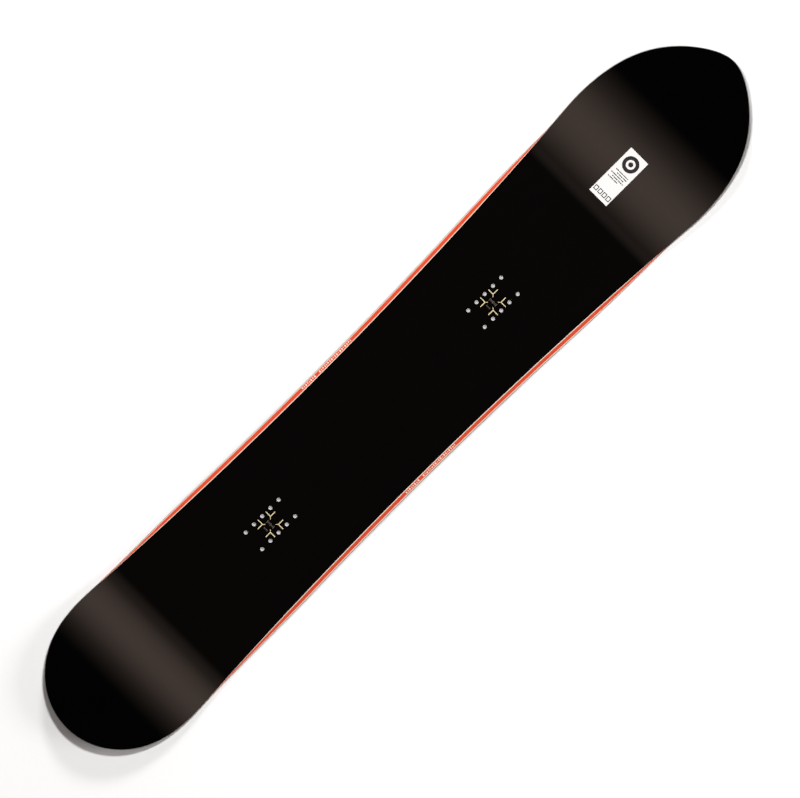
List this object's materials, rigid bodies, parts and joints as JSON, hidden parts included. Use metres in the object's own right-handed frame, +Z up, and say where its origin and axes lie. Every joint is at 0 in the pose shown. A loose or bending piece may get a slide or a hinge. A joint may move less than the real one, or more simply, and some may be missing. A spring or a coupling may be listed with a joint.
{
  "type": "snowboard deck",
  "caption": "Directional snowboard deck, wide rounded nose, sidecut, bevelled orange sidewalls, full-wrap steel edge and threaded insert packs for bindings; bindings not fitted",
  "frame": {"origin": "centre of the bounding box in plan, on the floor plane through the two contact lines of the base", "axes": "+X towards the nose, +Y towards the left edge, +Z up out of the deck"},
  "size_m": [1.62, 0.299, 0.0604],
  "materials": {
    "base_black": "black sintered polyethylene, stone ground",
    "edge_steel": "ground carbon steel",
    "foil_rubber": "matt rubber foil",
    "glass_laminate": "cream glass fibre and epoxy laminate",
    "sidewall_orange": "orange ABS, planed",
    "spacer_black": "black ABS",
    "poplar": "planed poplar, glued",
    "beech": "planed beech, glued",
    "insert_steel": "stainless steel",
    "carbon": "cured carbon fibre tape",
    "topsheet_black": "gloss black polyamide film",
    "label_vinyl": "white printed vinyl"
  },
  "bodies": {
    "root": {"base": "base_black", "edge_left": "edge_steel", "edge_right": "edge_steel", "foil_left": "foil_rubber", "foil_right": "foil_rubber", "biaxial_glass": "glass_laminate", "lower_glass": "glass_laminate", "sidewall_left": "sidewall_orange", "sidewall_right": "sidewall_orange", "nose_spacer": "spacer_black", "tail_spacer": "spacer_black", "core_middle": "poplar", "core_left_1": "beech", "core_left_2": "poplar", "core_left_3": "poplar", "core_left_4": "beech", "core_left_5": "poplar", "core_left_6": "beech", "core_right_1": "beech", "core_right_2": "poplar", "core_right_3": "poplar", "core_right_4": "beech", "core_right_5": "poplar", "core_right_6": "beech", "inserts_front": "insert_steel", "inserts_rear": "insert_steel", "mat_front": "glass_laminate", "mat_rear": "glass_laminate", "carbon_left": "carbon", "carbon_right": "carbon", "upper_glass": "glass_laminate", "topsheet": "topsheet_black", "nose_label": "label_vinyl"}
  },
  "joints": []
}
